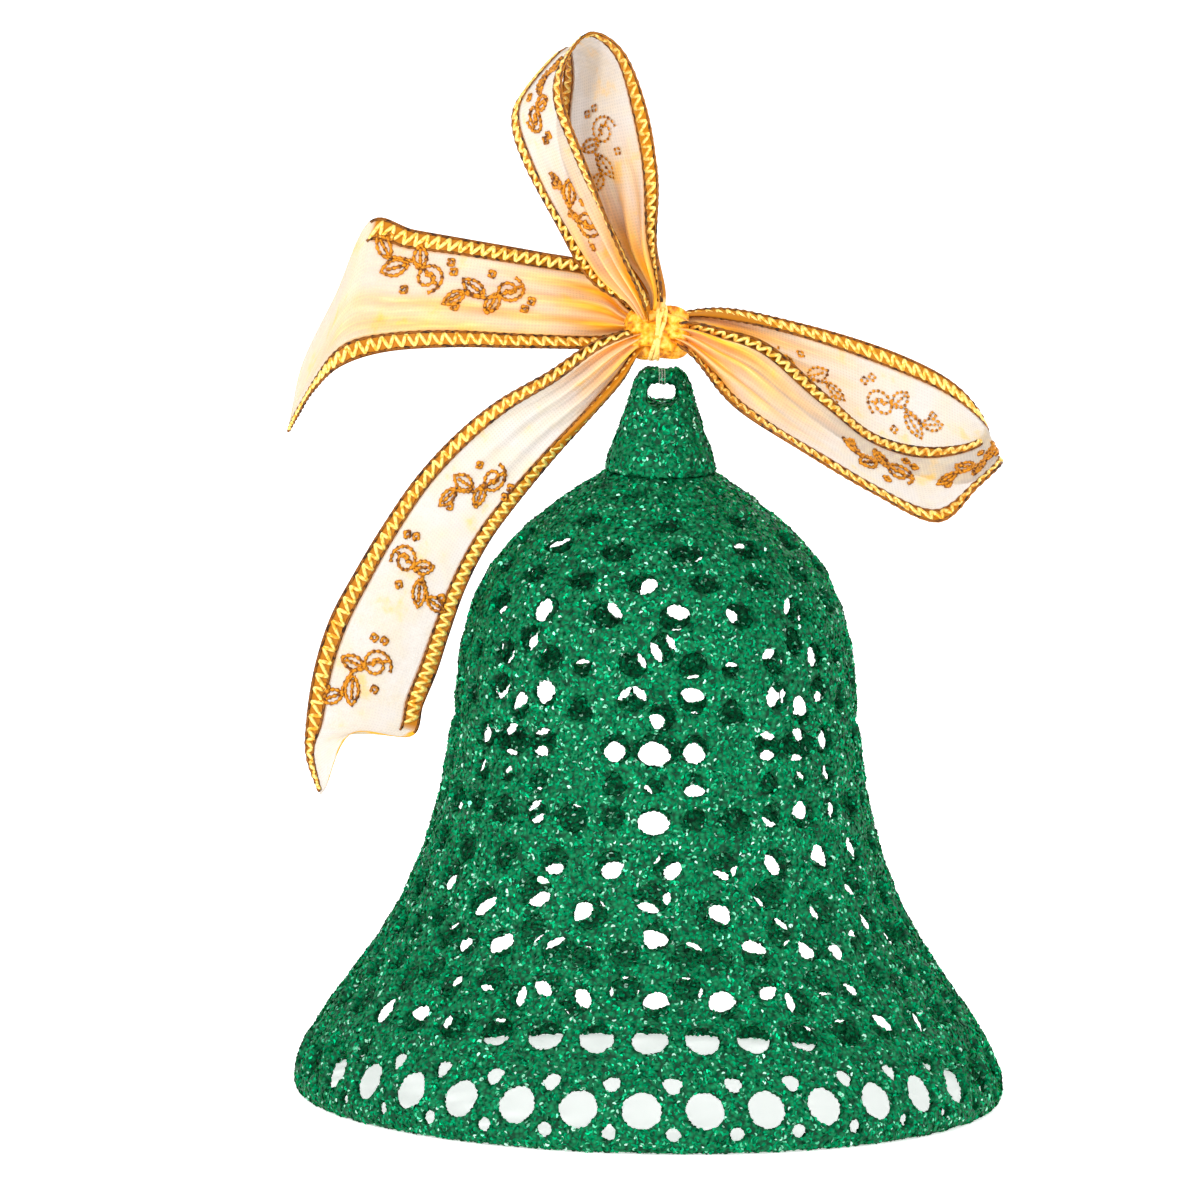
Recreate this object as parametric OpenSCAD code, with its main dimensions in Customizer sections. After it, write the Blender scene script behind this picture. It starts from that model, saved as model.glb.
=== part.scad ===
// Openwork bell ornament with a ribbon bow tied through the eye of its crown.
// Origin: centre of the rim plane, on the bell's axis. +Z up, -Y towards the front.

/* [Bell] */
// Largest outer radius, at the mouth
mouth_r = 60; // [55:0.5:65]
// Wall thickness of the openwork shell, measured square to its surface
wall = 2.2; // [2:0.1:3]
// Number of round holes in the rim band
rim_holes = 34; // [30:1:36]
// Diameter of those holes
rim_hole_d = 6.2; // [5:0.1:6.6]
// Number of rosettes round the waist
waist_rosettes = 8; // [6:1:9]
// Number of rosettes round the skirt
skirt_rosettes = 12; // [8:1:13]

/* [Crown] */
// Radius of the collar that sits on the dome
collar_r = 9.3; // [8.8:0.1:10]
// Width of the eye
eye_w = 4.6; // [4.2:0.1:5]
// Radius of the bridge over the eye
bridge_r = 1.6; // [1.4:0.1:1.8]

/* [Ribbon] */
// Thickness of the ribbon's stand-in solids
ribbon_t = 0.6; // [0.4:0.1:0.8]
// Radius of the knot
knot_r = 5; // [4.4:0.1:5]
// Width of the gathered strand through the eye
sling_w = 2.4; // [2:0.1:3.4]

/* [Hidden] */
$fn = 48;

green = "#137C4E";
gold = "#E9B04A";
cream = "#F0E1D2";

// Outer profile of the shell at the design size, as [radius, height] from the rim up.
design_r = 60;
PROFILE = [for (p = [[59.2, 0], [60, 2.2], [59.6, 5], [58.1, 8.6], [54.3, 14.6], [49.2, 21.6],
    [44.9, 28.4], [41.5, 35], [38.7, 42.2], [36.8, 49], [35.5, 56], [34.6, 63], [33.9, 70],
    [33.1, 76.6], [31.4, 83.4], [28.3, 90], [22.5, 96.6], [15.4, 102.2], [9, 106.4]])
    [p[0] * mouth_r / design_r, p[1]]];

// Profile points where one band of the shell ends and the next begins.
skirt_from = 4;
waist_from = 9;
shoulder_from = 14;
plate_from = 17;
profile_end = len(PROFILE) - 1;

plate_top = PROFILE[profile_end][1];
spigot_r = 4;
glue_gap = 0.02;
crown_foot = plate_top + glue_gap;
crown_top = 124;
bridge_z = 122.3;
eye_floor = 118;
sling_gap = 0.4;
sling_t = 0.7;
knot_at = [-1.5, 0, 130];
cut_depth = 3 * wall;

// ---- Geometry of the shell's surface ----

function unit(v) = v / norm(v);

// Outward normal of the profile at point i, as [radial, axial].
function profile_normal(i) =
    let (d = unit(PROFILE[min(i + 1, profile_end)] - PROFILE[max(i - 1, 0)])) [d[1], -d[0]];

function inner_point(i) =
    i == 0 ? PROFILE[0] - [wall, 0]
    : i == profile_end ? [PROFILE[i][0] - wall / 2, PROFILE[i][1] - wall]
    : PROFILE[i] - wall * profile_normal(i);

// Index of the profile stretch that holds height z.
function stretch_at(z) = max([for (i = [0:profile_end - 1]) if (PROFILE[i][1] <= z) i]);

function radius_at(z) =
    let (i = stretch_at(z), a = PROFILE[i], b = PROFILE[i + 1])
    a[0] + (b[0] - a[0]) * (z - a[1]) / (b[1] - a[1]);

// Angle by which the surface leans back from upright at height z, positive where it faces up.
function lean_at(z) =
    let (i = stretch_at(z), d = PROFILE[i + 1] - PROFILE[i]) atan2(-d[0], d[1]);

// One band of the shell, from profile point a to profile point b.
module band(a, b) {
    rotate_extrude()
        polygon(concat([for (i = [a:b]) PROFILE[i]], [for (i = [b:-1:a]) inner_point(i)]));
}

// Puts a cutter on the shell at height z and bearing turn, its own Z square to the surface
// and its own Y up the slope.
module on_shell(z, turn, tilt = 0) {
    rotate([0, 0, turn - 90])
        translate([radius_at(z), 0, z])
            rotate([0, 90 - lean_at(z), 0])
                rotate([0, 0, 90 + tilt])
                    children();
}

// ---- Cutters for the openings ----

module round_cutter(d) {
    cylinder(d = d, h = cut_depth, center = true);
}

// A leaf, w long along X and h across.
module leaf_cutter(w, h) {
    arc_r = (w * w + h * h) / (4 * h);
    intersection() {
        translate([0, arc_r - h / 2, 0]) cylinder(r = arc_r, h = cut_depth, center = true);
        translate([0, h / 2 - arc_r, 0]) cylinder(r = arc_r, h = cut_depth, center = true);
    }
}

// A triangle with its base w along X and its point h away in +Y.
module triangle_cutter(w, h) {
    linear_extrude(height = cut_depth, center = true)
        polygon([[-w / 2, -h / 3], [w / 2, -h / 3], [0, h * 2 / 3]]);
}

// A row of count leaves at height z, each turned by tilt, every second one the other way.
module leaf_row(z, count, w, h, tilt = 0, phase = 0) {
    for (i = [0:count - 1])
        on_shell(z, (i + phase) * 360 / count, i % 2 == 0 ? tilt : -tilt) leaf_cutter(w, h);
}

module round_row(z, count, d, phase = 0) {
    for (i = [0:count - 1]) on_shell(z, (i + phase) * 360 / count) round_cutter(d);
}

// A row of triangles; turned = 180 points them down.
module triangle_row(z, count, w, h, phase = 0, turned = 0) {
    for (i = [0:count - 1])
        on_shell(z, (i + phase) * 360 / count, turned) triangle_cutter(w, h);
}

// A row of rosettes, each of petals leaves laid round a solid eye.
module rosette_row(z, count, petals, reach, w, h, phase = 0) {
    for (i = [0:count - 1])
        on_shell(z, (i + phase) * 360 / count)
            for (k = [0:petals - 1])
                rotate([0, 0, k * 360 / petals + 90])
                    translate([reach, 0, 0]) leaf_cutter(w, h);
}

// ---- Bell shell, one moulding, modelled in bands that meet face to face ----

module rim_band() {
    ring_z = 7.6;
    ring_phase = -0.11;
    color(green)
        difference() {
            band(0, skirt_from);
            round_row(ring_z, rim_holes, rim_hole_d, ring_phase);
            triangle_row(11.7, rim_holes, 4.4, 3.6, ring_phase + 0.5, 180);
            triangle_row(3.6, rim_holes, 3.6, 2.8, ring_phase + 0.5);
        }
}

module skirt_lace() {
    color(green)
        difference() {
            band(skirt_from, waist_from);
            leaf_row(18.4, 3 * skirt_rosettes, 5.8, 5, 8);
            rosette_row(28.8, skirt_rosettes, 6, 6.1, 5, 4.2, 0.04);
            round_row(23.8, skirt_rosettes, 4.6, 0.5);
            leaf_row(30.6, skirt_rosettes, 4.6, 5.6, 14, 0.5);
            leaf_row(37.4, skirt_rosettes, 5.8, 5, 26, 0.5);
            leaf_row(40.2, skirt_rosettes, 6, 4.8, 12);
            round_row(45.2, 2 * skirt_rosettes, 4.4, 0.25);
        }
}

module waist_lace() {
    color(green)
        difference() {
            band(waist_from, shoulder_from);
            leaf_row(52.4, 2 * waist_rosettes, 5.6, 4.2, 10);
            round_row(52.8, 2 * waist_rosettes, 3.6, 0.5);
            triangle_row(58, 2 * waist_rosettes, 5, 4.2, 0.5);
            leaf_row(58.2, waist_rosettes, 3.4, 4.8, 16);
            leaf_row(64, waist_rosettes, 8, 5);
            leaf_row(64.2, 2 * waist_rosettes, 5, 4.4, 20, 0.5);
            rosette_row(75.4, waist_rosettes, 6, 5.8, 4.8, 3.8, 0.04);
            triangle_row(70.2, waist_rosettes, 5.4, 4.6, 0.5);
            leaf_row(77.4, waist_rosettes, 3.6, 5.4, 10, 0.5);
        }
}

module shoulder_lace() {
    color(green)
        difference() {
            band(shoulder_from, plate_from);
            leaf_row(86.2, 2 * waist_rosettes, 5.2, 4.2, 24, 0.25);
            leaf_row(91.4, 2 * waist_rosettes, 5.2, 3.6, 0, 0.75);
            leaf_row(96, 12, 6, 3.6, 6, 0.4);
            leaf_row(100, 8, 5.4, 3, 6, 0.1);
        }
}

// Solid top of the dome, with the socket for the crown's spigot.
module dome_plate() {
    vents = 5;
    vent_d = 2.4;
    vent_reach = 11.6;
    vent_from = plate_top - 6;
    color(green)
        difference() {
            rotate_extrude()
                polygon([PROFILE[plate_from], PROFILE[profile_end], [0, plate_top],
                    [0, inner_point(plate_from)[1]], inner_point(plate_from)]);
            translate([0, 0, PROFILE[plate_from][1] - 2 * wall])
                cylinder(r = spigot_r, h = 6 * wall);
            for (i = [0:vents - 1])
                rotate([0, 0, (i + 0.5) * 360 / vents])
                    translate([vent_reach, 0, vent_from]) cylinder(d = vent_d, h = cut_depth + 6);
        }
}

// ---- Crown: a cap plugged into the dome, with a bridged eye on top ----

module crown() {
    spigot_l = 3;
    slot_top = crown_top + 6;
    color(green)
        union() {
            difference() {
                rotate_extrude()
                    polygon([[0, crown_foot], [collar_r, crown_foot], [collar_r + 0.3, 107],
                        [9, 108.6], [8.7, 110.2], [7.6, 112.6], [7, 114.8], [6.1, 117],
                        [5.5, 119.4], [5.1, 121], [3.9, 123.2], [2.4, crown_top], [0, crown_top]]);
                translate([-eye_w / 2, -collar_r, eye_floor])
                    cube([eye_w, 2 * collar_r, slot_top - eye_floor]);
            }
            translate([-eye_w / 2 - 0.5, 0, bridge_z])
                rotate([0, 90, 0]) cylinder(r = bridge_r, h = eye_w + 1);
            translate([0, 0, crown_foot - spigot_l])
                cylinder(r = spigot_r - glue_gap, h = spigot_l + 0.5);
        }
}

// ---- Ribbon: one strip, modelled as strand, knot, two loops and two tails ----

// Strand gathered through the eye and round the bridge.
module eye_sling() {
    color(gold)
        translate([-sling_w / 2, 0, bridge_z])
            rotate([0, 90, 0])
                difference() {
                    cylinder(r = bridge_r + sling_gap + sling_t, h = sling_w);
                    translate([0, 0, -1]) cylinder(r = bridge_r + sling_gap, h = sling_w + 2);
                }
}

module knot() {
    color(gold) translate(knot_at) sphere(r = knot_r);
}

// A point between b and c on a smooth curve through a, b, c and d.
function smooth(a, b, c, d, t) =
    0.5 * (2 * b + (c - a) * t + (2 * a - 5 * b + 4 * c - d) * t * t
        + (3 * b - a - 3 * c + d) * t * t * t);

STEPS = 3;
function smooth_path(p) =
    let (last = len(p) - 1)
    concat([for (i = [0:last - 1], k = [0:STEPS - 1])
        smooth(p[max(i - 1, 0)], p[i], p[i + 1], p[min(i + 2, last)], k / STEPS)], [p[last]]);

// A strip of cloth between two edges, given as matching lists of points.
module strip(edge_a, edge_b) {
    a = smooth_path(edge_a);
    b = smooth_path(edge_b);
    n = len(a);
    mid = (a + b) / 2;
    along = [for (i = [0:n - 1]) mid[min(i + 1, n - 1)] - mid[max(i - 1, 0)]];
    lift = [for (i = [0:n - 1]) unit(cross(along[i], b[i] - a[i])) * ribbon_t / 2];
    points = [for (i = [0:n - 1])
        each [a[i] + lift[i], b[i] + lift[i], b[i] - lift[i], a[i] - lift[i]]];
    sides = [for (i = [0:n - 2], k = [0:3])
        let (p = 4 * i + k, q = 4 * i + (k + 1) % 4)
        each k == 2 ? [[p, q, p + 4], [q, q + 4, p + 4]] : [[p, q, q + 4], [p, q + 4, p + 4]]];
    last = 4 * (n - 1);
    ends = [[0, 2, 1], [0, 3, 2], [last, last + 1, last + 2], [last, last + 2, last + 3]];
    polyhedron(points, concat(sides, ends));
}

// Edges of each stretch of ribbon, from the knot outwards.
HANGING_NEAR = [[-3, -3.5, 136], [-6, -5, 142.5], [-10.5, -6, 152.5], [-14.5, -6, 161.5],
    [-17.5, -4, 169.5], [-17, -2, 175.5], [-13, 0, 180], [-7.5, -1, 177], [-3.5, -3, 168],
    [-1.5, -4, 157], [-1.5, -3, 145.5], [-0.5, -2.5, 136.5]];
HANGING_FAR = [[-6, -1, 135], [-12, 0, 138.5], [-17.5, 5, 146], [-23.5, 10, 155.5],
    [-26, 13, 163], [-24, 15, 168], [-18, 17.5, 174.5], [-17.5, 15, 170.5], [-18.5, 10.5, 162.5],
    [-16, 8, 153.5], [-9.5, 5, 144], [-2.5, 2, 136.8]];
SIDE_UPPER = [[4.5, 1.5, 133], [13, 3, 133], [26.5, 6, 130], [40, 8, 125.5], [49.5, 8, 120.5],
    [54.5, 4, 114.5], [52, -1, 112], [43.5, -3, 111.5], [35, -4, 114], [27.5, -4, 120],
    [18, -3, 128], [10, -2.5, 130.5], [4.5, -2, 131.5]];
SIDE_LOWER = [[4.5, 2, 128.5], [14, 5, 122.5], [27.5, 3, 113.5], [39.5, 3, 107], [50.5, -4, 105.5],
    [57, -13, 110.5], [53, -18, 107], [46.5, -18, 101], [35.5, -20, 106], [23.5, -19, 112.5],
    [12.5, -13, 118.5], [8, -6, 123], [4, -3.5, 127]];
UPPER_TOP = [[-6.5, 3, 134.5], [-11, 5, 140], [-21, 5.5, 142], [-32.5, 5, 144], [-42, 5, 145.5],
    [-49.5, 4, 147], [-55, 4, 134.5], [-60.5, 3, 122.5], [-62.3, 3, 112]];
UPPER_BOTTOM = [[-7, 1.5, 128.5], [-11, 1, 126.5], [-22, -1, 126.5], [-35.5, -1, 126.5],
    [-46.5, -1, 125.5], [-54, -2, 123], [-58.5, -1, 118.5], [-61, 1.5, 114], [-62.6, 3, 111]];
LOWER_OUTER = [[-6.5, -3.5, 130], [-12, -4, 128], [-19, -4, 123], [-27.5, -4, 118],
    [-34.5, -3, 112], [-41, -2, 104.5], [-46.5, -1, 96], [-51, 0, 88], [-55, 1, 80],
    [-57.5, 1, 71.5], [-58.7, -1, 63], [-58.5, -4, 57], [-56, -7, 51]];
LOWER_INNER = [[-4.7, -2.5, 125.5], [-6.8, -2.5, 121.5], [-12, -2.5, 115], [-18.3, -2.5, 107.5],
    [-24.5, -2, 99.5], [-28.8, -1, 93], [-32.3, 0, 85.5], [-34.9, 1, 77.5], [-36.8, 2, 71],
    [-39, 1, 65.5], [-41, -2, 60.5], [-51, -3, 61], [-55, -6.5, 52.5]];

module hanging_loop() {
    color(cream) strip(HANGING_NEAR, HANGING_FAR);
}

module side_loop() {
    color(cream) strip(SIDE_UPPER, SIDE_LOWER);
}

module upper_tail() {
    color(cream) strip(UPPER_TOP, UPPER_BOTTOM);
}

module lower_tail() {
    color(cream) strip(LOWER_OUTER, LOWER_INNER);
}

rim_band();
skirt_lace();
waist_lace();
shoulder_lace();
dome_plate();
crown();
eye_sling();
knot();
hanging_loop();
side_loop();
upper_tail();
lower_tail();
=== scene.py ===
"""Openwork bell with a glitter coat and a sheer ribbon bow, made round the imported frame."""
import math

import bmesh
import bpy
import numpy as np
from mathutils import Matrix, Vector, noise


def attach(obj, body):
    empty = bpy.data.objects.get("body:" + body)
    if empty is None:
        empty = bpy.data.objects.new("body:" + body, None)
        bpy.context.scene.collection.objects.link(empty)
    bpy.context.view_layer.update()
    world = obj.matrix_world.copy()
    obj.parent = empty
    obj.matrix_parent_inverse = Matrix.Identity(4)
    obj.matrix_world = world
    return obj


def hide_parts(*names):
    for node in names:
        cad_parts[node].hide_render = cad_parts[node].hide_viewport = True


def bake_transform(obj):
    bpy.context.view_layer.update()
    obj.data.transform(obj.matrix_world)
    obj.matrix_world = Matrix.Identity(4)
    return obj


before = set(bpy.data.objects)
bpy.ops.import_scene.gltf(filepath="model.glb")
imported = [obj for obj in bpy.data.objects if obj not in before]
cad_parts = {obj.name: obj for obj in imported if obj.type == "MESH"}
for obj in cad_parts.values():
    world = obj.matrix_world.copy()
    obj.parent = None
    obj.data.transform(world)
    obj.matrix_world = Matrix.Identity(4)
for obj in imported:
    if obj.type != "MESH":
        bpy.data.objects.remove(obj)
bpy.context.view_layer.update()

MM = 0.001

# ---------------------------------------------------------------- camera, light and floor

AIM = Vector((-9.7, 0.0, 84.0)) * MM
CAMERA_DISTANCE = 4.0
CAMERA_ELEVATION = math.radians(8.8)
CAMERA_ROLL = math.radians(1.1)
FRAME_HEIGHT = 201.6 * MM
SENSOR = 36.0
FLOOR_HALF = 6.0
# name, place in metres, side in metres, power in watts
SOFTBOXES = [("key", (-0.35, -0.55, 0.55), 0.16, 2.6),
             ("fill", (0.6, -0.5, 0.3), 0.3, 0.8),
             ("back", (0.25, 0.6, 0.5), 0.3, 1.2)]


def make_camera():
    """A long lens a little above the bell, so that the mouth shows as a flat ellipse."""
    data = bpy.data.cameras.new("camera")
    data.sensor_width = SENSOR
    data.lens = SENSOR * CAMERA_DISTANCE / FRAME_HEIGHT
    camera = bpy.data.objects.new("camera", data)
    bpy.context.collection.objects.link(camera)
    back = Vector((0, -math.cos(CAMERA_ELEVATION), math.sin(CAMERA_ELEVATION)))
    camera.location = AIM + back * CAMERA_DISTANCE
    turn = (-back).to_track_quat("-Z", "Y") @ Matrix.Rotation(CAMERA_ROLL, 3, "Z").to_quaternion()
    camera.rotation_mode = "QUATERNION"
    camera.rotation_quaternion = turn
    bpy.context.scene.camera = camera


make_camera()


def softbox(name, place, size, power):
    """A square area light at place, pointed at the bell."""
    data = bpy.data.lights.new(name, "AREA")
    data.shape = "SQUARE"
    data.size = size
    data.energy = power
    light = bpy.data.objects.new(name, data)
    light.location = place
    light.rotation_mode = "QUATERNION"
    light.rotation_quaternion = (AIM - Vector(place)).to_track_quat("-Z", "Y")
    bpy.context.collection.objects.link(light)


def add(tree, kind, inputs=None, **settings):
    """Adds a node. inputs gives sockets, by name or number, a value or another node's output."""
    node = tree.nodes.new(kind)
    for name, value in settings.items():
        setattr(node, name, value)
    for key, value in (inputs or {}).items():
        socket = node.inputs[key]
        if isinstance(value, bpy.types.NodeSocket):
            tree.links.new(value, socket)
        else:
            socket.default_value = value
    return node


def linear(text):
    """An sRGB hex colour as linear RGBA."""
    parts = [int(text[i:i + 2], 16) / 255 for i in (1, 3, 5)]
    return (*[p / 12.92 if p <= 0.04045 else ((p + 0.055) / 1.055) ** 2.4 for p in parts], 1.0)


def studio():
    """Soft white light from all round, a key from the upper left and a pale floor."""
    world = bpy.data.worlds.new("studio")
    world.use_nodes = True
    world.node_tree.nodes["Background"].inputs["Color"].default_value = linear("#FFFFFF")
    world.node_tree.nodes["Background"].inputs["Strength"].default_value = 1.0
    bpy.context.scene.world = world
    for box in SOFTBOXES:
        softbox(*box)
    bpy.context.scene.view_settings.view_transform = "Standard"
    mesh = bpy.data.meshes.new("floor")
    corners = [(-1, -1), (1, -1), (1, 1), (-1, 1)]
    mesh.from_pydata([(x * FLOOR_HALF, y * FLOOR_HALF, 0) for x, y in corners], [],
                     [(0, 1, 2, 3)])
    floor = bpy.data.objects.new("floor", mesh)
    bpy.context.collection.objects.link(floor)
    paper = bpy.data.materials.new("studio_paper")
    paper.use_nodes = True
    shader = paper.node_tree.nodes["Principled BSDF"]
    shader.inputs["Base Color"].default_value = linear("#FBFBFB")
    shader.inputs["Roughness"].default_value = 0.9
    shader.inputs["Emission Color"].default_value = linear("#FFFFFF")
    shader.inputs["Emission Strength"].default_value = 0.55
    mesh.materials.append(paper)


studio()

# ---------------------------------------------------------------- materials


def new_material(name):
    """A material, its tree and its main shader."""
    material = bpy.data.materials.new(name)
    material.use_nodes = True
    tree = material.node_tree
    return material, tree, tree.nodes["Principled BSDF"]


def ramp(tree, factor, stops):
    """A colour ramp through stops, each (position, hex colour)."""
    node = add(tree, "ShaderNodeValToRGB", {"Fac": factor})
    elements = node.color_ramp.elements
    while len(elements) < len(stops):
        elements.new(0.5)
    for element, (position, colour) in zip(elements, stops):
        element.position = position
        element.color = linear(colour)
    return node.outputs["Color"]


GRAIN_MM = 0.85
GRAIN_DEPTH_MM = 0.3


def glued_grit():
    """Polystyrene under glue full of fine grit: dark, rough green that shows between the flakes."""
    material, tree, shader = new_material("glued_grit_on_polystyrene")
    place = add(tree, "ShaderNodeTexCoord").outputs["Object"]
    cells = add(tree, "ShaderNodeTexVoronoi", {"Vector": place, "Scale": 1 / (GRAIN_MM * MM)})
    distance = cells.outputs["Distance"]
    # The green darkens towards the grooves between grains, where the bump sinks: painted shade.
    colour = ramp(tree, distance, [(0.0, "#008A54"), (0.4, "#006A40"), (0.75, "#003A22")])
    bump = add(tree, "ShaderNodeBump", {"Height": distance, "Distance": GRAIN_DEPTH_MM * MM,
                                        "Strength": 0.8}, invert=True)
    tree.links.new(colour, shader.inputs["Base Color"])
    tree.links.new(bump.outputs["Normal"], shader.inputs["Normal"])
    shader.inputs["Roughness"].default_value = 0.6
    shader.inputs["IOR"].default_value = 1.5
    shader.inputs["Specular IOR Level"].default_value = 0.15
    return material


def glitter_film():
    """Flakes cut from lacquered metallised film: each mirrors the room as a painted reflection in
    its green.
    """
    material, tree, shader = new_material("glitter_film")
    # Each flake's random value picks its colour: the film's green, darkened or lightened to pale
    # mint as painted reflection.
    painted_reflection = add(tree, "ShaderNodeAttribute", attribute_name="painted_reflection").outputs["Fac"]
    colour = ramp(tree, painted_reflection, [(0.0, "#003A24"), (0.22, "#006C42"), (0.66, "#009660"),
                               (0.84, "#18AE76"), (0.94, "#7AD3AC"), (1.0, "#CDF1E2")])
    tree.links.new(colour, shader.inputs["Base Color"])
    shader.inputs["Metallic"].default_value = 1.0
    shader.inputs["Roughness"].default_value = 0.42
    shader.inputs["Specular Tint"].default_value = linear("#3FB080")
    return material


WEAVE_MM = 0.55
CLOUD_MM = 6.25
FOLDS_PER_MM = (0.12, 1.1, 1.0)


def organza():
    """Sheer plain weave of fine filament, off-white, warmer where gathered or edged with gold.

    Light goes between the threads. WEAVE_MM is coarser than they are, or none would show."""
    material, tree, shader = new_material("organza")
    cloth = add(tree, "ShaderNodeUVMap", uv_map="cloth").outputs["UV"]
    axes = add(tree, "ShaderNodeSeparateXYZ", {"Vector": cloth})
    gather = add(tree, "ShaderNodeAttribute", attribute_name="gather").outputs["Fac"]
    border = add(tree, "ShaderNodeAttribute", attribute_name="border").outputs["Fac"]
    gild = add(tree, "ShaderNodeAttribute", attribute_name="gild").outputs["Fac"]
    waves = []
    for axis in ("X", "Y"):
        turn = add(tree, "ShaderNodeMath", {0: axes.outputs[axis], 1: 2 * math.pi / WEAVE_MM},
                   operation="MULTIPLY")
        waves.append(add(tree, "ShaderNodeMath", {0: turn.outputs[0]}, operation="SINE").outputs[0])
    weave = add(tree, "ShaderNodeMath", {0: waves[0], 1: waves[1]}, operation="MAXIMUM").outputs[0]
    drift = add(tree, "ShaderNodeTexNoise", {"Vector": cloth, "Scale": 1 / CLOUD_MM, "Detail": 3.0,
                                             "Roughness": 0.6}).outputs["Fac"]
    sheer = add(tree, "ShaderNodeMapRange", {"Value": weave, "From Min": -0.6, "To Min": 0.5,
                                             "To Max": 0.64}).outputs[0]
    cloudy = add(tree, "ShaderNodeMapRange", {"Value": drift, "From Min": 0.3, "From Max": 0.7,
                                              "To Min": -0.06, "To Max": 0.1}).outputs[0]
    alpha = add(tree, "ShaderNodeMath", {0: sheer, 1: cloudy}, operation="ADD").outputs[0]
    for amount, share in ((gather, 0.3), (border, 0.55), (gild, 0.4)):
        denser = add(tree, "ShaderNodeMath", {0: amount, 1: share}, operation="MULTIPLY")
        alpha = add(tree, "ShaderNodeMath", {0: alpha, 1: denser.outputs[0]}, operation="ADD",
                    use_clamp=True).outputs[0]
    cream = ramp(tree, drift, [(0.4, "#D3C7BC"), (0.6, "#DCCDB6"), (0.72, "#F2C878")])
    streaks = add(tree, "ShaderNodeMapping", {"Vector": cloth, "Scale": FOLDS_PER_MM})
    folds = add(tree, "ShaderNodeTexNoise", {"Vector": streaks.outputs["Vector"], "Scale": 1.0,
                                             "Detail": 3.0}).outputs["Fac"]
    warm = ramp(tree, folds, [(0.3, "#E09404"), (0.5, "#FFB010"), (0.62, "#FFC534"),
                              (0.76, "#FFE384")])
    amber = add(tree, "ShaderNodeMixRGB", {"Fac": gild, "Color1": cream, "Color2": warm})
    gilt = add(tree, "ShaderNodeMixRGB", {"Fac": border, "Color1": amber.outputs["Color"],
                                          "Color2": linear("#BC7404")})
    tree.links.new(gilt.outputs["Color"], shader.inputs["Base Color"])
    tree.links.new(alpha, shader.inputs["Alpha"])
    shader.inputs["Roughness"].default_value = 0.45
    shader.inputs["Specular IOR Level"].default_value = 0.2
    shader.inputs["Sheen Weight"].default_value = 0.1
    shader.inputs["Sheen Roughness"].default_value = 0.4
    return material


WINDING_DEPTH_MM = 0.08


def lame_thread(name, bright, shade, pitch_mm, roughness):
    """Gold foil wound round a core: bright turns, with painted shade in the grooves between them.
    """
    material, tree, shader = new_material(name)
    place = add(tree, "ShaderNodeTexCoord").outputs["Object"]
    turns = add(tree, "ShaderNodeTexVoronoi", {"Vector": place, "Scale": 1 / (pitch_mm * MM)})
    distance = turns.outputs["Distance"]
    # Bright on the raised turns, going to painted shade in the grooves where the bump sinks.
    colour = ramp(tree, distance, [(0.1, bright), (0.45, bright), (0.8, shade)])
    bump = add(tree, "ShaderNodeBump", {"Height": distance, "Distance": WINDING_DEPTH_MM * MM,
                                        "Strength": 0.6}, invert=True)
    tree.links.new(colour, shader.inputs["Base Color"])
    tree.links.new(bump.outputs["Normal"], shader.inputs["Normal"])
    shader.inputs["Metallic"].default_value = 0.5
    shader.inputs["Roughness"].default_value = roughness
    return material


SILK_STREAKS_PER_M = 900.0
SILK_RELIEF_MM = 0.3


def folded_silk(name, light, painted_hollow_shade):
    """Organza and lame drawn tight: many layers, so warm, shiny and nearly opaque."""
    material, tree, shader = new_material(name)
    place = add(tree, "ShaderNodeTexCoord").outputs["Object"]
    streaks = add(tree, "ShaderNodeTexNoise", {"Vector": place, "Scale": SILK_STREAKS_PER_M,
                                               "Detail": 4.0})
    # Painted shade in the hollows of the streaks, the light colour between, and #FFD060 a painted
    # highlight on the raised streaks.
    colour = ramp(tree, streaks.outputs["Fac"], [(0.38, painted_hollow_shade), (0.5, light), (0.66, "#FFD060")])
    bump = add(tree, "ShaderNodeBump", {"Height": streaks.outputs["Fac"],
                                        "Distance": SILK_RELIEF_MM * MM, "Strength": 0.6})
    tree.links.new(colour, shader.inputs["Base Color"])
    tree.links.new(bump.outputs["Normal"], shader.inputs["Normal"])
    shader.inputs["Roughness"].default_value = 0.42
    shader.inputs["Specular IOR Level"].default_value = 0.3
    shader.inputs["Sheen Weight"].default_value = 0.05
    return material


def sheer_strand():
    """A few clear filaments of the ground weave: little more than their gloss shows."""
    material, _, shader = new_material("clear_filament_strand")
    shader.inputs["Base Color"].default_value = linear("#F3EADC")
    shader.inputs["Roughness"].default_value = 0.2
    shader.inputs["Alpha"].default_value = 0.12
    return material


GRIT = glued_grit()
FLAKE = glitter_film()
ORGANZA = organza()
# Each lame thread: the colour of its turns, then the painted shade for the grooves between them.
CORD_GOLD = lame_thread("gold_lame_cord", "#8E5206", "#2E1502", 0.8, 0.4)
# The stitches' pale yellow is partly the gold's own colour and partly painted highlight on the
# rungs.
STITCH_GOLD = lame_thread("gold_lame_stitch", "#FFE482", "#F0A828", 0.7, 0.32)
SPRIG_GOLD = lame_thread("gold_lame_embroidery", "#D88A08", "#683400", 0.7, 0.4)
# Each silk: its lit colour, then the painted shade for the hollows between its streaks.
KNOT_SILK = folded_silk("gathered_organza", "#FFA808", "#C06A00")
BINDING_SILK = folded_silk("twisted_organza_strand", "#FFDC84", "#EFA424")
ORGANZA_STRAND = sheer_strand()

# ---------------------------------------------------------------- shared mesh work


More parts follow.
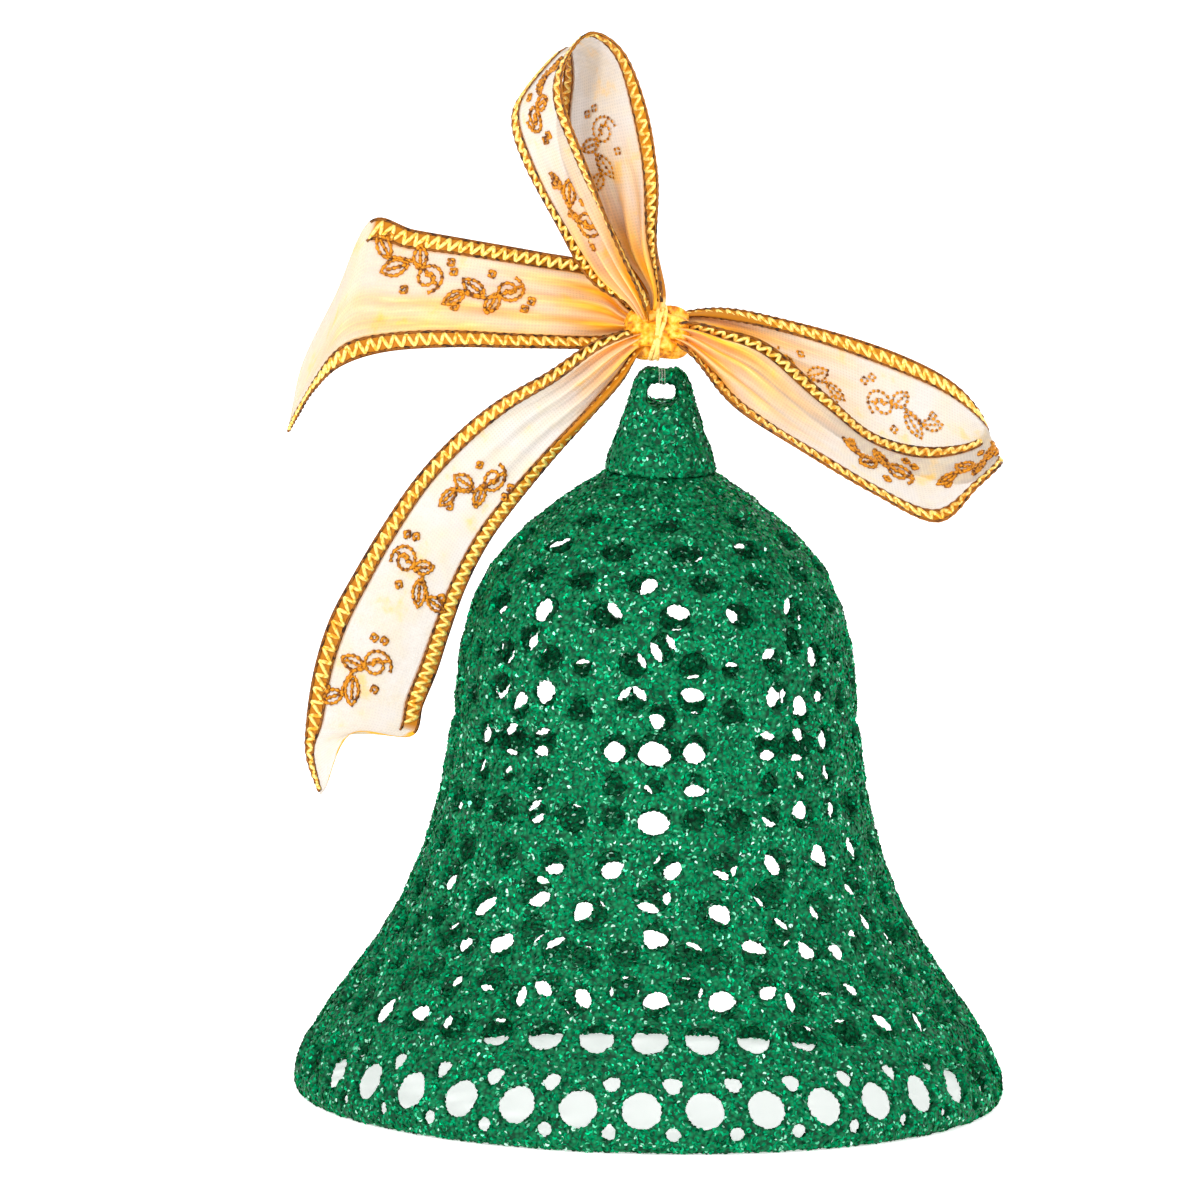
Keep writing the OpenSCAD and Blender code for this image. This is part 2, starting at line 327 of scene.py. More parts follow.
def object_from(name, points, faces, material):
    """A mesh object from points in metres."""
    mesh = bpy.data.meshes.new(name)
    mesh.from_pydata([tuple(p) for p in points], [], faces)
    mesh.materials.append(material)
    mesh.shade_smooth()
    obj = bpy.data.objects.new(name, mesh)
    bpy.context.collection.objects.link(obj)
    return obj


def settle(obj, name=None):
    """Replaces obj by a plain mesh of what its modifiers make."""
    name = name or obj.name
    graph = bpy.context.evaluated_depsgraph_get()
    mesh = bpy.data.meshes.new_from_object(obj.evaluated_get(graph), depsgraph=graph)
    bpy.data.objects.remove(obj)
    mesh.name = name
    plain = bpy.data.objects.new(name, mesh)
    bpy.context.collection.objects.link(plain)
    return plain


def set_inputs(modifier, values):
    """Sets a Geometry Nodes modifier's inputs by the identifiers of their sockets."""
    sockets = {s.name: s.identifier for s in modifier.node_group.interface.items_tree
               if s.item_type == "SOCKET" and s.in_out == "INPUT"}
    for name, value in values.items():
        modifier[sockets[name]] = value


# ---------------------------------------------------------------- bell shell and crown

LOWER_NODES = ["rim_band", "skirt_lace"]
UPPER_NODES = ["waist_lace", "shoulder_lace", "dome_plate"]
SHELL_VOXEL = 0.66 * MM
CROWN_VOXEL = 0.42 * MM
MERGE_MM = 0.001
ROUNDING_PASSES = 5
SPLIT_HEIGHT = 48.6 * MM


def coated_copy(name, nodes, voxel):
    """One skin round CAD nodes, with every opening's edges rounded as thick glue rounds them."""
    gathered = bmesh.new()
    for node in nodes:
        gathered.from_mesh(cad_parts[node].data)
    bmesh.ops.remove_doubles(gathered, verts=gathered.verts, dist=MERGE_MM * MM)
    mesh = bpy.data.meshes.new(name)
    gathered.to_mesh(mesh)
    gathered.free()
    mesh.materials.clear()
    mesh.materials.append(GRIT)
    obj = bpy.data.objects.new(name, mesh)
    bpy.context.collection.objects.link(obj)
    remesh = obj.modifiers.new("skin", "REMESH")
    remesh.mode = "VOXEL"
    remesh.voxel_size = voxel
    remesh.use_smooth_shade = True
    smooth = obj.modifiers.new("round", "SMOOTH")
    smooth.iterations = ROUNDING_PASSES
    smooth.factor = 0.5
    return settle(obj)


LUMP_MM = 0.2
FLAKE_ROOM_MM = 0.25
FINE_LUMP_MM = 1.1
BROAD_LUMP_MM = 4.0
BROAD_SHARE = 0.6


def roughen(obj):
    """Draws the skin in by the thickness of the flakes, and in and out as uneven glue does."""
    mesh = obj.data
    count = len(mesh.vertices)
    places = np.empty(count * 3, np.float32)
    mesh.vertices.foreach_get("co", places)
    places = places.reshape(-1, 3)
    normals = np.empty(count * 3, np.float32)
    mesh.vertices.foreach_get("normal", normals)
    normals = normals.reshape(-1, 3)
    push = np.array([noise.noise(Vector(p) / (FINE_LUMP_MM * MM))
                     + BROAD_SHARE * noise.noise(Vector(p) / (BROAD_LUMP_MM * MM)) for p in places])
    places += normals * ((push * LUMP_MM - FLAKE_ROOM_MM) * MM)[:, None]
    places[:, 2] = np.maximum(places[:, 2], 0.0)
    mesh.vertices.foreach_set("co", places.reshape(-1))
    mesh.update()


def half_of(obj, name, keep_above):
    """The part of obj above or below the solid rail at SPLIT_HEIGHT, closed across its wall."""
    shape = bmesh.new()
    shape.from_mesh(obj.data)
    everything = shape.verts[:] + shape.edges[:] + shape.faces[:]
    cut = bmesh.ops.bisect_plane(shape, geom=everything, plane_co=(0, 0, SPLIT_HEIGHT),
                                 plane_no=(0, 0, 1), clear_inner=keep_above,
                                 clear_outer=not keep_above)
    rim = [e for e in cut["geom_cut"] if isinstance(e, bmesh.types.BMEdge)]
    side = -1 if keep_above else 1
    cap = bmesh.ops.triangle_fill(shape, use_beauty=True, edges=rim, normal=(0, 0, side))
    for edge in rim:
        edge.smooth = False
    for face in cap["geom"]:
        if isinstance(face, bmesh.types.BMFace):
            face.smooth = False
            if face.normal.z * side < 0:
                face.normal_flip()
    mesh = bpy.data.meshes.new(name)
    shape.to_mesh(mesh)
    shape.free()
    mesh.materials.append(GRIT)
    half = bpy.data.objects.new(name, mesh)
    bpy.context.collection.objects.link(half)
    return half


def bell_piece(obj, *nodes):
    """Ties a finished piece to the bell, in place of the CAD nodes named."""
    if nodes:
        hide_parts(*nodes)
    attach(obj, "bell")


FLAKE_CORNERS = 6
FLAKES_PER_MM2 = 2.7
FLAKE_RADIUS_MM = 0.35
FLAKE_TILT = math.radians(32)
FLAKES_PER_PIECE = 45000
SHELL_SEED = 3
CROWN_SEED = 4
SIZE_SEED = 5
PAINTED_REFLECTION_SEED = 9


def flake_tree():
    """Scatters six-sided flakes over a skin, each lying close to it at its own turn and tilt."""
    tree = bpy.data.node_groups.new("flakes", "GeometryNodeTree")
    face = tree.interface
    face.new_socket("Skin", in_out="INPUT", socket_type="NodeSocketGeometry")
    for label in ("Per square metre", "Radius", "Tilt"):
        face.new_socket(label, in_out="INPUT", socket_type="NodeSocketFloat")
    face.new_socket("Seed", in_out="INPUT", socket_type="NodeSocketInt")
    face.new_socket("Coat", in_out="INPUT", socket_type="NodeSocketMaterial")
    face.new_socket("Flakes", in_out="OUTPUT", socket_type="NodeSocketGeometry")
    given = add(tree, "NodeGroupInput").outputs
    points = add(tree, "GeometryNodeDistributePointsOnFaces",
                 {"Mesh": given["Skin"], "Density": given["Per square metre"],
                  "Seed": given["Seed"]})
    flake = add(tree, "GeometryNodeMeshCircle",
                {"Vertices": FLAKE_CORNERS, "Radius": given["Radius"]}, fill_type="NGON")
    down = add(tree, "ShaderNodeMath", {0: given["Tilt"], 1: -1.0}, operation="MULTIPLY")
    low = add(tree, "ShaderNodeCombineXYZ", {"X": down.outputs[0], "Y": down.outputs[0],
                                             "Z": -math.pi})
    high = add(tree, "ShaderNodeCombineXYZ", {"X": given["Tilt"], "Y": given["Tilt"],
                                              "Z": math.pi})
    lean = add(tree, "FunctionNodeRandomValue", {0: low.outputs[0], 1: high.outputs[0]},
               data_type="FLOAT_VECTOR")
    turn = add(tree, "FunctionNodeEulerToRotation", {0: lean.outputs[0]})
    stand = add(tree, "FunctionNodeRotateRotation",
                {"Rotation": points.outputs["Rotation"], "Rotate By": turn.outputs[0]},
                rotation_space="LOCAL")
    size = add(tree, "FunctionNodeRandomValue", {2: 0.75, 3: 1.25, "Seed": SIZE_SEED},
               data_type="FLOAT")
    placed = add(tree, "GeometryNodeInstanceOnPoints",
                 {"Points": points.outputs["Points"], "Instance": flake.outputs["Mesh"],
                  "Rotation": stand.outputs[0], "Scale": size.outputs[1]})
    # A random value per flake for the painted reflection in its colour, dark to glinting.
    painted_reflection = add(tree, "FunctionNodeRandomValue", {2: 0.0, 3: 1.0, "Seed": PAINTED_REFLECTION_SEED},
               data_type="FLOAT")
    reflection_stored = add(tree, "GeometryNodeStoreNamedAttribute",
                {"Geometry": placed.outputs[0], "Name": "painted_reflection", "Value": painted_reflection.outputs[1]},
                data_type="FLOAT", domain="INSTANCE")
    real = add(tree, "GeometryNodeRealizeInstances", {"Geometry": reflection_stored.outputs[0]})
    coat = add(tree, "GeometryNodeSetMaterial", {"Geometry": real.outputs[0],
                                                 "Material": given["Coat"]})
    add(tree, "NodeGroupOutput", {"Flakes": coat.outputs[0]})
    return tree


FLAKE_TREE = flake_tree()


def scatter_flakes(skin, name, seed):
    """Flakes all over skin, as plain meshes small enough to export whole."""
    copy = bpy.data.objects.new(name, skin.data)
    bpy.context.collection.objects.link(copy)
    scatter = copy.modifiers.new("flakes", "NODES")
    scatter.node_group = FLAKE_TREE
    set_inputs(scatter, {"Per square metre": FLAKES_PER_MM2 / (MM * MM),
                         "Radius": FLAKE_RADIUS_MM * MM, "Tilt": FLAKE_TILT,
                         "Seed": seed, "Coat": FLAKE})
    whole = settle(copy, name + "_all")
    count = len(whole.data.vertices) // FLAKE_CORNERS
    places = np.empty(len(whole.data.vertices) * 3, np.float32)
    whole.data.vertices.foreach_get("co", places)
    places = places.reshape(-1, 3)
    # Each flake's painted reflection value, carried onto the pieces.
    painted_reflections = np.empty(len(whole.data.vertices), np.float32)
    whole.data.attributes["painted_reflection"].data.foreach_get("value", painted_reflections)
    bpy.data.objects.remove(whole)
    pieces = []
    for first in range(0, count, FLAKES_PER_PIECE):
        last = min(first + FLAKES_PER_PIECE, count)
        own = places[first * FLAKE_CORNERS:last * FLAKE_CORNERS]
        faces = np.arange(len(own)).reshape(-1, FLAKE_CORNERS)
        piece = object_from(f"{name}_{len(pieces) + 1}", own, faces.tolist(), FLAKE)
        piece.data.shade_flat()
        painted_reflection = piece.data.attributes.new("painted_reflection", "FLOAT", "POINT")
        painted_reflection.data.foreach_set("value", painted_reflections[first * FLAKE_CORNERS:last * FLAKE_CORNERS])
        pieces.append(piece)
    return pieces


FOOT_TOP_MM = 109.0
FOOT_DROP_MM = 0.9
FOOT_SPAN_MM = 3


def seat_crown(obj):
    """Lets the crown's foot sink into the coat on the dome, which closes the joint between them."""
    for vertex in obj.data.vertices:
        share = min(max((FOOT_TOP_MM * MM - vertex.co.z) / (FOOT_SPAN_MM * MM), 0.0), 1.0)
        vertex.co.z -= FOOT_DROP_MM * MM * share * share
    obj.data.update()


shell = coated_copy("bell_shell", LOWER_NODES + UPPER_NODES, SHELL_VOXEL)
roughen(shell)
crown = coated_copy("crown_cap", ["crown"], CROWN_VOXEL)
roughen(crown)
seat_crown(crown)
flakes = scatter_flakes(shell, "shell_flakes", SHELL_SEED)
flakes += scatter_flakes(crown, "crown_flakes", CROWN_SEED)
for piece in flakes:
    bell_piece(piece)
bell_piece(half_of(shell, "bell_skirt", False), *LOWER_NODES)
bell_piece(half_of(shell, "bell_waist", True), *UPPER_NODES)
bpy.data.objects.remove(shell)
bell_piece(crown, "crown")

# ---------------------------------------------------------------- ribbon, in millimetres

RIBBON_W = 20.0
SELVEDGE_W = 3.2
WEB_T = 0.12
KNOT = Vector((-1.5, 0, 130))
BEND_AT = Vector((-1.5, 0, 130.5))
KNOT_SHARE = 0.3
GATHER_REACH = 15.0
PLEATS = 4
PLEAT_MOST = 1.0
PLEAT_WANDER = 0.8
PLEAT_WANDER_WAVE = 9
RIPPLE = 0.25
RIPPLE_WAVE = 3.1
GOLD_STREAKS = 5
COLUMNS = 40
ROW_STEP = 0.7
CURVE_SAMPLES = 600


def smooth_between(points, t):
    """Places at parameters t on the smooth curve through points, as the CAD ribbon draws it."""
    p = np.asarray(points, float)
    last = len(p) - 1
    i = np.clip(np.floor(t).astype(int), 0, last - 1)
    f = (t - i)[:, None]
    a, b = p[np.maximum(i - 1, 0)], p[i]
    c, d = p[i + 1], p[np.minimum(i + 2, last)]
    return 0.5 * (2 * b + (c - a) * f + (2 * a - 5 * b + 4 * c - d) * f * f
                  + (3 * b - a - 3 * c + d) * f * f * f)


def unit(v):
    """Vectors scaled to length one."""
    return v / np.maximum(np.linalg.norm(v, axis=-1, keepdims=True), 1e-9)


class Strip:
    """A stretch of ribbon between two edges; both ends of a loop are at the knot.

    golden is how far from the knot the folds look golden, and fold_v where a fold runs on."""

    def __init__(self, edge_a, edge_b, is_loop, phase, golden, fold_v=None):
        self.a = self.from_inside_knot(edge_a, is_loop)
        self.b = self.from_inside_knot(edge_b, is_loop)
        self.is_loop = is_loop
        self.phase = phase
        self.golden = golden
        self.fold_v = fold_v
        self.t = np.linspace(0, len(self.a) - 1, CURVE_SAMPLES)
        middle = (smooth_between(self.a, self.t) + smooth_between(self.b, self.t)) / 2
        steps = np.linalg.norm(np.diff(middle, axis=0), axis=1)
        self.s = np.concatenate([[0], np.cumsum(steps)])
        self.length = self.s[-1]

    def from_inside_knot(self, edge, is_loop):
        """An edge with a point inside the knot before it, and after it on a loop."""
        points = [np.asarray(p) for p in edge]
        knot = np.asarray(KNOT)
        lead = [knot + (points[0] - knot) * KNOT_SHARE]
        tail = [knot + (points[-1] - knot) * KNOT_SHARE] if is_loop else []
        return lead + points + tail

    def from_knot(self, s):
        """Distance along the ribbon to the nearest end that is in the knot."""
        return np.minimum(s, self.length - s) if self.is_loop else s

    def gather(self, s):
        """1 in the knot, falling to 0 where the ribbon has opened out."""
        g = np.clip(1.15 - self.from_knot(s) / GATHER_REACH, 0, 1)
        return g * g * (3 - 2 * g)

    def gild(self, s, v):
        """How golden the cloth looks: folds and threads crowd together towards the knot."""
        near = np.clip(1.35 - self.from_knot(s) / self.golden, 0, 1)
        streak = 0.75 + 0.25 * np.sin(2 * math.pi * GOLD_STREAKS * v + self.phase + s / 7)
        amount = near * streak
        if self.fold_v is not None:
            band = np.clip((v - self.fold_v) / 0.15, 0, 1) * np.clip(2.2 - s / 32, 0, 1)
            amount = np.maximum(amount, 0.18 + 0.5 * band * streak)
        return np.clip(amount, 0, 1)

    def bare(self, s, v):
        """Places and normals of the smooth strip, before pleats."""
        t = np.interp(s, self.s, self.t)
        a, b = smooth_between(self.a, t), smooth_between(self.b, t)
        step = 0.02
        ahead, behind = np.minimum(t + step, self.t[-1]), np.maximum(t - step, 0)
        v1 = v[:, None]
        place = a + (b - a) * v1
        along = ((smooth_between(self.a, ahead) - smooth_between(self.a, behind)) * (1 - v1)
                 + (smooth_between(self.b, ahead) - smooth_between(self.b, behind)) * v1)
        return place, unit(np.cross(along, b - a)), np.linalg.norm(b - a, axis=1)

    def pleat(self, s, v, width):
        """Height of the folds: what the ribbon's spare width makes where it is drawn together."""
        spare = np.sqrt(np.maximum((RIBBON_W / np.maximum(width, 1)) ** 2 - 1, 0))
        height = width / (math.pi * PLEATS * math.sqrt(2)) * spare
        fade = np.clip(1.5 - self.from_knot(s) / (2 * GATHER_REACH), 0, 1)
        height = np.minimum(height, PLEAT_MOST) * fade
        wander = PLEAT_WANDER * np.sin(s / PLEAT_WANDER_WAVE + self.phase)
        return height * np.sin(2 * math.pi * PLEATS * v + self.phase + wander)

    def place(self, s, v, lift=0.0):
        """Places of cloth points s along, v across from 0 to 1, lift off the web."""
        s, v = np.broadcast_arrays(np.asarray(s, float), np.asarray(v, float))
        flat_s, flat_v = s.ravel(), v.ravel()
        bare, normal, width = self.bare(flat_s, flat_v)
        high = self.pleat(flat_s, flat_v, width)
        ripple = RIPPLE * np.sin(flat_s / RIPPLE_WAVE + self.phase) * np.sin(math.pi * flat_v)
        where = bare + normal * (high + ripple + np.asarray(lift).ravel())[:, None]
        return where.reshape(s.shape + (3,))


FRAY = 1.6
SELVEDGE_FADE = 0.6


def borders(strip, spans, s, v):
    """Where the gold selvedge is woven in, and where loose gold thread frays from a cut edge."""
    woven, frayed = np.zeros_like(s), np.zeros_like(s)
    for side, _, end in spans:
        edge = RIBBON_W * (v if side == 0 else 1 - v)
        kept = np.clip((end - SELVEDGE_FADE - s) / SELVEDGE_FADE, 0, 1)
        inside = SELVEDGE_W + SELVEDGE_FADE / 2 - edge
        woven = np.maximum(woven, kept * np.clip(inside / SELVEDGE_FADE, 0, 1))
        reach = FRAY * (1 + 0.6 * np.sin(2.3 * s) * np.sin(1.1 * s))
        if side == 1:
            frayed = np.maximum(frayed, (1 - kept) * np.clip((reach - edge) / 0.5, 0, 1))
    return woven, frayed


def web_of(strip, name, spans):
    """The woven web as a thin closed slab, with its cloth coordinates in millimetres."""
    rows = int(strip.length / ROW_STEP)
    s = np.linspace(0, strip.length, rows + 1)
    v = np.linspace(0, 1, COLUMNS + 1)
    grid_s, grid_v = np.meshgrid(s, v, indexing="ij")
    top = strip.place(grid_s, grid_v, WEB_T / 2 * np.ones(grid_s.size))
    bottom = strip.place(grid_s, grid_v, -WEB_T / 2 * np.ones(grid_s.size))
    across = COLUMNS + 1
    count = (rows + 1) * across
    index = np.arange(count).reshape(rows + 1, across)
    quads = np.stack([index[:-1, :-1], index[:-1, 1:], index[1:, 1:], index[1:, :-1]],
                     -1).reshape(-1, 4)
    ring = np.concatenate([index[0, :], index[1:, -1], index[-1, -2::-1], index[-2:0:-1, 0]])
    after = np.roll(ring, -1)
    wall = np.stack([ring, ring + count, after + count, after], -1)
    faces = np.concatenate([quads[:, ::-1], quads + count, wall])
    points = np.concatenate([top.reshape(-1, 3), bottom.reshape(-1, 3)]) * MM
    web = object_from(name, points, faces.tolist(), ORGANZA)
    layer = web.data.uv_layers.new(name="cloth")
    corners = np.empty(len(web.data.loops), np.int32)
    web.data.loops.foreach_get("vertex_index", corners)
    cloth = np.stack([grid_s.ravel(), grid_v.ravel() * RIBBON_W], -1)
    layer.data.foreach_set("uv", cloth[corners % count].astype(np.float32).ravel())
    gather = np.tile(strip.gather(grid_s.ravel()), 2)
    woven, frayed = borders(strip, spans, grid_s.ravel(), grid_v.ravel())
    border = np.tile(woven, 2)
    gild = np.tile(np.maximum(strip.gild(grid_s.ravel(), grid_v.ravel()), frayed), 2)
    for label, values in (("gather", gather), ("border", border), ("gild", gild)):
        attribute = web.data.attributes.new(label, "FLOAT", "POINT")
        attribute.data.foreach_set("value", values.astype(np.float32))
    return web


def tube_along(path, radius, sides=6):
    """Points and faces of a closed tube round a path; radius may vary along and round it."""
    path = np.asarray(path)
    ahead = unit(np.gradient(path, axis=0))
    up = np.empty_like(path)
    guide = np.array([0.0, 0.0, 1.0]) if abs(ahead[0][2]) < 0.9 else np.array([1.0, 0.0, 0.0])
    for i, a in enumerate(ahead):
        guide = guide - a * guide.dot(a)
        guide /= np.linalg.norm(guide)
        up[i] = guide
    side = np.cross(ahead, up)
    angle = np.arange(sides) * 2 * math.pi / sides
    reach = np.broadcast_to(radius, (len(path), sides))
    ring = (path[:, None] + reach[..., None] * (np.cos(angle)[None, :, None] * up[:, None]
                                                + np.sin(angle)[None, :, None] * side[:, None]))
    index = np.arange(len(path) * sides).reshape(-1, sides)
    turned = np.roll(index, -1, 1)
    faces = np.stack([index[:-1], turned[:-1], turned[1:], index[1:]], -1).reshape(-1, 4).tolist()
    faces = [f[::-1] for f in faces]
    faces += [index[0].tolist(), index[-1][::-1].tolist()]
    return ring.reshape(-1, 3), faces


def joined_tubes(name, tubes, material):
    """One object from many tubes, in millimetres."""
    points, faces, base = [], [], 0
    for own, own_faces in tubes:
        points.append(own)
        faces += [[i + base for i in f] for f in own_faces]
        base += len(own)
    return object_from(name, np.concatenate(points) * MM, faces, material)


CORD_R = 0.25
CORD_TWIST = 1.5
CORD_STEP = 0.3
CORD_SIDES = 6
CORD_LIFT = 0.05
OUTER_CORD = 0.3
INNER_CORD = 2.9


def across_at(side, off):
    """The cloth's v at off millimetres in from its first (0) or second (1) edge."""
    return off / RIBBON_W if side == 0 else 1 - off / RIBBON_W


def selvedge_cords(strip, name, spans):
    """Two twisted cords along each selvedge. spans gives (side, start, end) in millimetres."""
    tubes = []
    for side, start, end in spans:
        for off in (OUTER_CORD, INNER_CORD):
            s = np.arange(start, end, CORD_STEP)
            v = np.full_like(s, across_at(side, off))
            path = strip.place(s, v, np.full_like(s, CORD_LIFT))
            angle = np.arange(CORD_SIDES) * 2 * math.pi / CORD_SIDES
            twist = 2 * math.pi * s / CORD_TWIST
            radius = CORD_R * (1 + 0.28 * np.cos(2 * angle[None, :] - twist[:, None]))
            tubes.append(tube_along(path, radius))
    return joined_tubes(name, tubes, CORD_GOLD)


def stitch_tree():
    """Lays a rounded bar of thread at each point, along the point's own direction and length."""
    tree = bpy.data.node_groups.new("stitches", "GeometryNodeTree")
    face = tree.interface
    face.new_socket("Points", in_out="INPUT", socket_type="NodeSocketGeometry")
    face.new_socket("Thickness", in_out="INPUT", socket_type="NodeSocketFloat")
    face.new_socket("Thread", in_out="INPUT", socket_type="NodeSocketMaterial")
    face.new_socket("Stitches", in_out="OUTPUT", socket_type="NodeSocketGeometry")
    given = add(tree, "NodeGroupInput").outputs
    bar = add(tree, "GeometryNodeMeshUVSphere", {"Segments": 6, "Rings": 5, "Radius": 0.5})
    across = add(tree, "GeometryNodeInputNamedAttribute", {"Name": "across"},
                 data_type="FLOAT_VECTOR")
    out = add(tree, "GeometryNodeInputNamedAttribute", {"Name": "out"}, data_type="FLOAT_VECTOR")
    reach = add(tree, "GeometryNodeInputNamedAttribute", {"Name": "reach"}, data_type="FLOAT")
    turn = add(tree, "FunctionNodeAxesToRotation",
               {"Primary Axis": across.outputs[0], "Secondary Axis": out.outputs[0]},
               primary_axis="Z", secondary_axis="X")
    scale = add(tree, "ShaderNodeCombineXYZ", {"X": given["Thickness"], "Y": given["Thickness"],
                                               "Z": reach.outputs[0]})
    placed = add(tree, "GeometryNodeInstanceOnPoints",
                 {"Points": given["Points"], "Instance": bar.outputs["Mesh"],
                  "Rotation": turn.outputs[0], "Scale": scale.outputs[0]})
    real = add(tree, "GeometryNodeRealizeInstances", {"Geometry": placed.outputs[0]})
    thread = add(tree, "GeometryNodeSetMaterial", {"Geometry": real.outputs[0],
                                                   "Material": given["Thread"]})
    add(tree, "NodeGroupOutput", {"Stitches": thread.outputs[0]})
    return tree


STITCH_TREE = stitch_tree()
STITCH_PITCH = 2.0
STITCH_T = 0.8
STITCH_LIFT = 0.1
FIRST_STITCH = 0.6


def ladder_stitches(strip, name, spans):
    """Zigzag thread between the two cords of each selvedge: a rung, then a slant."""
    ends = []
    for side, start, end in spans:
        outer, inner = across_at(side, OUTER_CORD), across_at(side, INNER_CORD)
        for s in np.arange(start + FIRST_STITCH, end - STITCH_PITCH, STITCH_PITCH):
            for lean in (0.0, STITCH_PITCH):
                ends.append([(s, outer), (s + lean, inner)])
    ends = np.array(ends)
    lift = np.full(len(ends), STITCH_LIFT)
    one = strip.place(ends[:, 0, 0], ends[:, 0, 1], lift)
    two = strip.place(ends[:, 1, 0], ends[:, 1, 1], lift)
    outward = strip.place(ends[:, 0, 0], ends[:, 0, 1], lift + 1.0) - one
    mesh = bpy.data.meshes.new(name)
    mesh.from_pydata([tuple(p) for p in (one + two) / 2 * MM], [], [])
    for label, kind, values in (("across", "FLOAT_VECTOR", unit(two - one)),
                                ("out", "FLOAT_VECTOR", unit(outward)),
                                ("reach", "FLOAT", np.linalg.norm(two - one, axis=1) * MM)):
        attribute = mesh.attributes.new(label, kind, "POINT")
        key = "vector" if kind == "FLOAT_VECTOR" else "value"
        attribute.data.foreach_set(key, np.asarray(values, np.float32).ravel())
    obj = bpy.data.objects.new(name, mesh)
    bpy.context.collection.objects.link(obj)
    sewing = obj.modifiers.new("stitches", "NODES")
    sewing.node_group = STITCH_TREE
    set_inputs(sewing, {"Thickness": STITCH_T * MM, "Thread": STITCH_GOLD})
    sewn = settle(obj)
    sewn.data.shade_smooth()
    return sewn


def lens(length, width, count=18):
    """Outline of a leaf from (0, 0) along X."""
    u = np.linspace(0, 1, count)
    upper = np.stack([u * length, width / 2 * np.sin(math.pi * u) ** 0.9], -1)
    return np.concatenate([upper, (upper * [1, -1])[::-1]])


def turned(points, degrees, at):
    """Points turned about the origin and moved to at."""
    c, s = math.cos(math.radians(degrees)), math.sin(math.radians(degrees))
    return points @ np.array([[c, s], [-s, c]]) + np.asarray(at)


def sprig_lines():
    """One embroidered sprig about 11 mm long: a curled tendril, a stem, leaves and berries."""
    turn = np.linspace(0, 3.4 * math.pi, 60)
    size = 0.35 + 2.0 * turn / turn[-1]
    curl = np.stack([size * np.cos(turn), size * np.sin(turn)], -1)
    stem_u = np.linspace(0, 1, 24)
    stem = np.stack([-2.2 + 9.5 * stem_u, -1.0 + 2.4 * np.sin(2.6 * stem_u)], -1)
    lines = [curl, stem]
    for length, width, degrees, at in ((3.8, 1.9, 62, (1.6, 0.6)), (4.2, 2.1, -38, (3.6, 1.0)),
                                       (3.6, 1.8, 30, (6.4, 0.4))):
        lines.append(turned(lens(length, width), degrees, at))
        lines.append(turned(np.stack([np.linspace(0.5, length - 0.6, 8), np.zeros(8)], -1),
                            degrees, at))
    ring = np.linspace(0, 2 * math.pi, 9)
    for x, y in ((-3.2, 2.0), (-2.2, 3.2), (2.6, -2.6), (7.8, 2.8)):
        lines.append(np.stack([x + 0.5 * np.cos(ring), y + 0.5 * np.sin(ring)], -1))
    return lines


SPRIG = sprig_lines()
SPRIG_SIZE = 1.15
THREAD_R = 0.32
THREAD_STEP = 0.28
THREAD_LIFT = 0.16
THREAD_SIDES = 5
BEAD_PITCH = 0.9
BEAD_SWELL = 0.35


def sprigs(strip, name, places):
    """Sprigs sewn on the web. places gives (s, v, turn in degrees, side 1 or -1)."""
    tubes = []
    for s0, v0, degrees, flip in places:
        for line in SPRIG:
            flat = turned(line * [SPRIG_SIZE, SPRIG_SIZE * flip], degrees, (s0, v0 * RIBBON_W))
            gaps = np.concatenate([[0], np.cumsum(np.linalg.norm(np.diff(flat, axis=0), axis=1))])
            fine = np.arange(0, gaps[-1], THREAD_STEP)
            x, y = np.interp(fine, gaps, flat[:, 0]), np.interp(fine, gaps, flat[:, 1])
            inside = (x > 1) & (x < strip.length - 1)
            v = np.clip(y / RIBBON_W, 0.02, 0.98)
            if inside.sum() < 4:
                continue
            path = strip.place(x[inside], v[inside], np.full(inside.sum(), THREAD_LIFT))
            beads = 1 + BEAD_SWELL * np.sin(2 * math.pi * fine[inside] / BEAD_PITCH)
            tubes.append(tube_along(path, (THREAD_R * beads)[:, None], THREAD_SIDES))
    return joined_tubes(name, tubes, SPRIG_GOLD)


# Both edges of each stretch from the knot out, as the CAD ribbon has them.
HANGING_NEAR = [[-3, -3.5, 136], [-6, -5, 142.5], [-10.5, -6, 152.5], [-14.5, -6, 161.5],
                [-17.5, -4, 169.5], [-17, -2, 175.5], [-13, 0, 180], [-7.5, -1, 177],
                [-3.5, -3, 168], [-1.5, -4, 157], [-1.5, -3, 145.5], [-0.5, -2.5, 136.5]]
HANGING_FAR = [[-6, -1, 135], [-12, 0, 138.5], [-17.5, 5, 146], [-23.5, 10, 155.5],
               [-26, 13, 163], [-24, 15, 168], [-18, 17.5, 174.5], [-17.5, 15, 170.5],
               [-18.5, 10.5, 162.5], [-16, 8, 153.5], [-9.5, 5, 144], [-2.5, 2, 136.8]]
SIDE_UPPER = [[4.5, 1.5, 133], [13, 3, 133], [26.5, 6, 130], [40, 8, 125.5], [49.5, 8, 120.5],
              [54.5, 4, 114.5], [52, -1, 112], [43.5, -3, 111.5], [35, -4, 114], [27.5, -4, 120],
              [18, -3, 128], [10, -2.5, 130.5], [4.5, -2, 131.5]]
SIDE_LOWER = [[4.5, 2, 128.5], [14, 5, 122.5], [27.5, 3, 113.5], [39.5, 3, 107],
              [50.5, -4, 105.5], [57, -13, 110.5], [53, -18, 107], [46.5, -18, 101],
              [35.5, -20, 106], [23.5, -19, 112.5], [12.5, -13, 118.5], [8, -6, 123],
              [4, -3.5, 127]]
